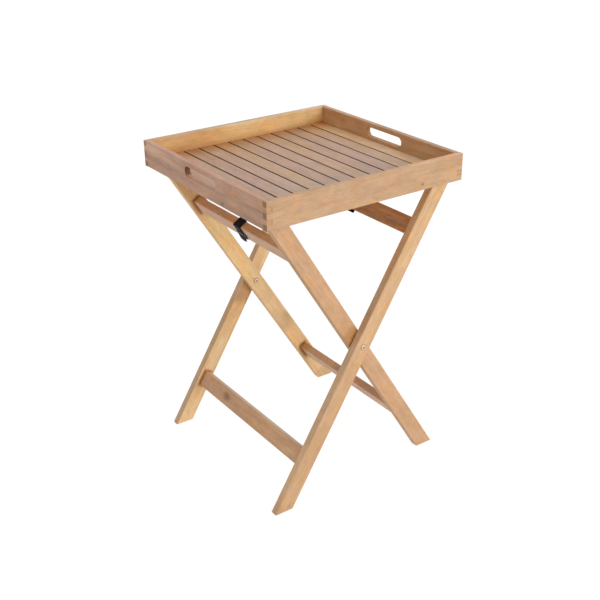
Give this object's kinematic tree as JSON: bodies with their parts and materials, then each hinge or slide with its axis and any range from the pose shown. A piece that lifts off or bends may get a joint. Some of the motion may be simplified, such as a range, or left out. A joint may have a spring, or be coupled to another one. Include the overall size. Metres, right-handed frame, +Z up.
{
  "type": "tray table",
  "caption": "Folding wooden tray table: a square slatted tray with finger-jointed rim and hand slots, resting on a crossed-leg stand held open by a webbing strap.",
  "frame": {"origin": "centre of the table's box at floor level, under the stand's pivot line", "axes": "+Z up; the tray's hand slots face -X and +X, the direction in which the stand folds; the slats, the stand's rails and the pivot line run along Y"},
  "size_m": [0.471, 0.47, 0.7],
  "materials": {
    "board_wood": "oiled hardwood, satin, with fine straight grain",
    "slat_wood": "oiled hardwood, pinkish grey-brown, nearly matt",
    "stand_wood": "oiled hardwood, satin, with fine straight grain",
    "dowel_wood": "bare beech",
    "steel": "zinc-plated, satin",
    "webbing": "black woven webbing",
    "plastic": "black moulded plastic, slightly shiny"
  },
  "bodies": {
    "outer_frame": {"outer_leg_front": "stand_wood", "outer_leg_back": "stand_wood", "outer_top_rail": "stand_wood", "outer_bottom_rail": "stand_wood", "outer_top_dowel_front_1": "dowel_wood", "outer_top_dowel_front_2": "dowel_wood", "outer_top_dowel_back_1": "dowel_wood", "outer_top_dowel_back_2": "dowel_wood", "outer_bottom_dowel_front_1": "dowel_wood", "outer_bottom_dowel_front_2": "dowel_wood", "outer_bottom_dowel_back_1": "dowel_wood", "outer_bottom_dowel_back_2": "dowel_wood", "pivot_bolt_front": "steel", "pivot_bolt_back": "steel", "pivot_washer_front": "steel", "pivot_washer_back": "steel", "strap_wrap_outer": "webbing", "strap_span": "webbing"},
    "inner_frame": {"inner_leg_front": "stand_wood", "inner_leg_back": "stand_wood", "inner_top_rail": "stand_wood", "inner_bottom_rail": "stand_wood", "inner_top_dowel_front_1": "dowel_wood", "inner_top_dowel_front_2": "dowel_wood", "inner_top_dowel_back_1": "dowel_wood", "inner_top_dowel_back_2": "dowel_wood", "inner_bottom_dowel_front_1": "dowel_wood", "inner_bottom_dowel_front_2": "dowel_wood", "inner_bottom_dowel_back_1": "dowel_wood", "inner_bottom_dowel_back_2": "dowel_wood", "pivot_nut_front": "steel", "pivot_nut_back": "steel", "strap_wrap_inner": "webbing", "strap_tail": "webbing", "strap_slider": "plastic"},
    "tray": {"tray_front_board": "board_wood", "tray_back_board": "board_wood", "tray_left_handle_board": "board_wood", "tray_right_handle_board": "board_wood", "tray_slat_01": "slat_wood", "tray_slat_02": "slat_wood", "tray_slat_03": "slat_wood", "tray_slat_04": "slat_wood", "tray_slat_05": "slat_wood", "tray_slat_06": "slat_wood", "tray_slat_07": "slat_wood", "tray_slat_08": "slat_wood", "tray_slat_09": "slat_wood", "tray_slat_10": "slat_wood", "tray_slat_11": "slat_wood", "tray_slat_12": "slat_wood", "tray_batten_front": "slat_wood", "tray_batten_back": "slat_wood", "batten_screw_front_1": "steel", "batten_screw_front_2": "steel", "batten_screw_front_3": "steel", "batten_screw_back_1": "steel", "batten_screw_back_2": "steel", "batten_screw_back_3": "steel"}
  },
  "joints": [
    {"name": "stand_fold", "type": "hinge", "parent": "outer_frame", "child": "inner_frame", "pos_m": [0, 0, 0.328], "axis": [0, 1, 0], "range_deg": [0, 56.5], "deforming": ["strap_span"]},
    {"name": "tray_lift", "type": "slide", "parent": "outer_frame", "child": "tray", "axis": [0, 0, 1], "range_m": [0, 0.25]}
  ],
  "couplings": [
    {"joint": "tray_lift", "follows": "stand_fold", "m_per_rad": 0.25}
  ]
}
